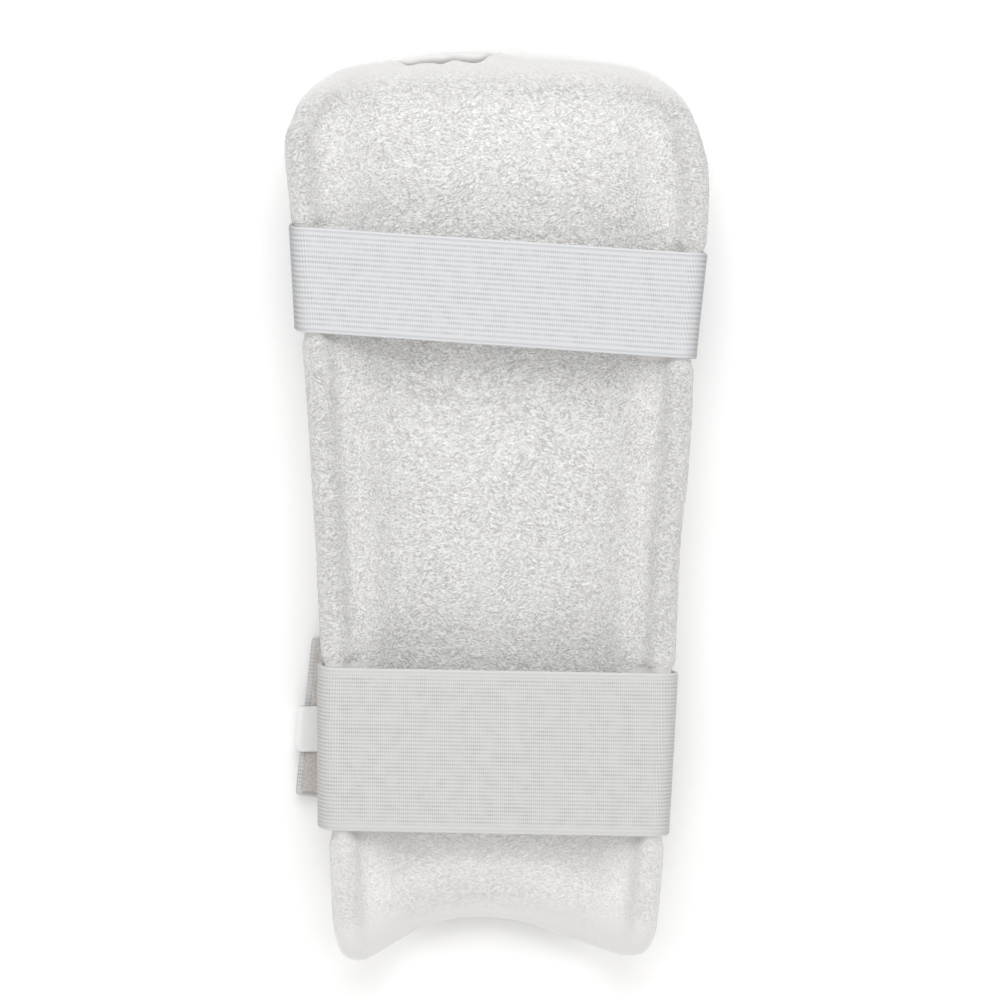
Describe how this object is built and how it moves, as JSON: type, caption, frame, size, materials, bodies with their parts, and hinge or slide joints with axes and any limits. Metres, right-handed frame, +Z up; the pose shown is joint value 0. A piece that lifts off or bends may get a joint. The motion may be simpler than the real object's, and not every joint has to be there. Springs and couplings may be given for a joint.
{
  "type": "cricket arm guard",
  "caption": "Padded forearm guard: a towelling-lined channel with a smooth outer facing, a notched wrist end and two elastic straps across the hollow.",
  "frame": {"origin": "under the middle of the guard, on the surface that it lies on", "axes": "+X across the forearm, +Y from the wrist end to the elbow end, +Z up out of the hollow, towelling side up"},
  "size_m": [0.1286, 0.2742, 0.0366],
  "materials": {
    "facing": "smooth coated facing, satin",
    "towelling": "white looped terry pile",
    "elastic": "white ribbed woven elastic",
    "hook_tape": "grey-white hook tape",
    "loop_tape": "white brushed loop tape",
    "tab": "smooth folded white tape"
  },
  "bodies": {
    "root": {"padded_facing": "facing", "towel_lining": "towelling", "upper_strap": "elastic", "lower_strap": "elastic", "lower_hook_tape": "hook_tape", "lower_loop_patch": "loop_tape", "upper_fastening_patch": "loop_tape", "strap_tab": "tab"}
  },
  "joints": []
}
